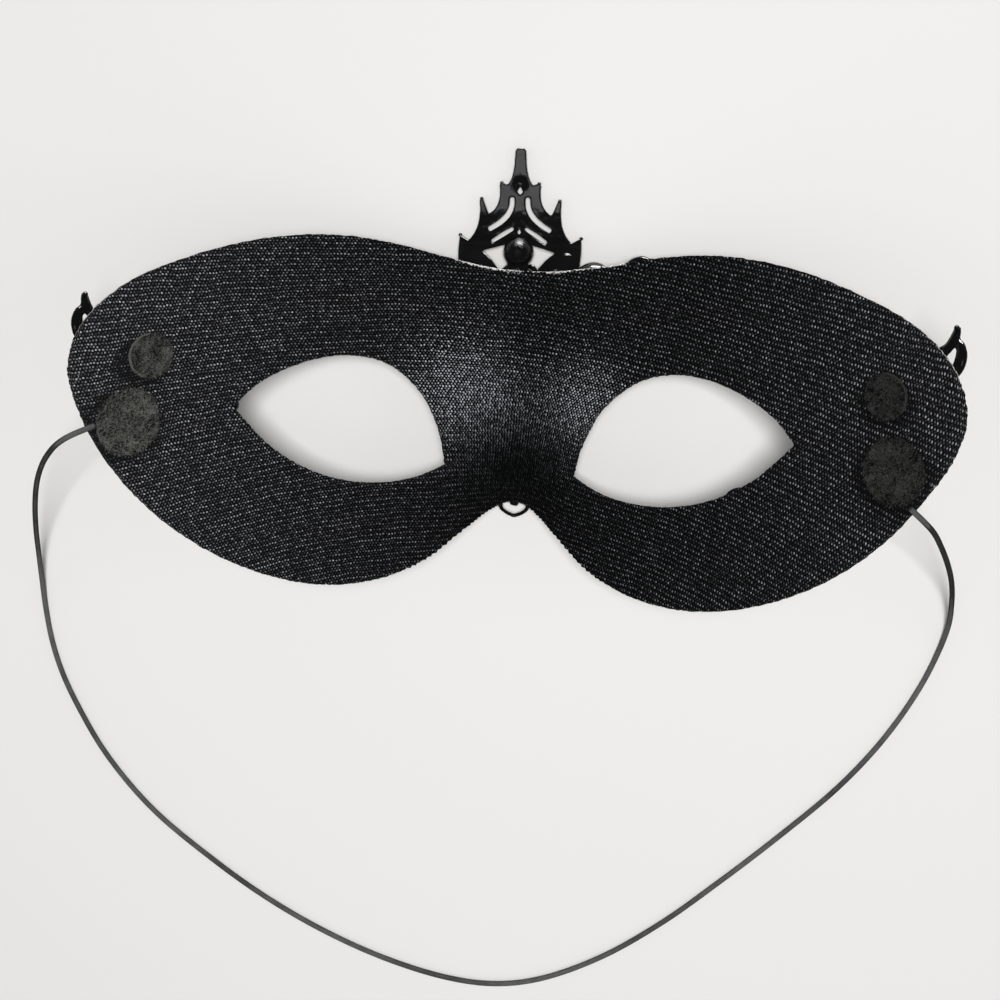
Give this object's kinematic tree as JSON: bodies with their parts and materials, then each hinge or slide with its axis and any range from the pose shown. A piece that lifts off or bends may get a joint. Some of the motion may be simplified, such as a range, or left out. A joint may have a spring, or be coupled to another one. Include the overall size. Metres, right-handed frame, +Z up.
{
  "type": "masquerade mask",
  "caption": "Half-face masquerade mask lying face down: dark knit lining, almond eye holes, felt discs, an elastic cord and a black openwork ornament with a crest.",
  "frame": {"origin": "on the floor under the middle of the mask's box, the cord left out", "axes": "+X from the left temple to the right one as seen from the lined inside, +Y from the cheeks to the crest, +Z up, away from the ornament and out of the hollow of the face"},
  "size_m": [0.2295, 0.2161, 0.0528],
  "materials": {
    "lining": "fine ribbed knit, nearly black",
    "lacquer": "glossy black lacquer",
    "felt": "dark grey felt",
    "elastic": "dark braided elastic"
  },
  "bodies": {
    "root": {"mask_shell": "lining", "filigree_overlay": "lacquer", "cord_disc_left": "felt", "cord_disc_right": "felt", "ornament_disc_left": "felt", "ornament_disc_right": "felt", "elastic_cord": "elastic"}
  },
  "joints": []
}
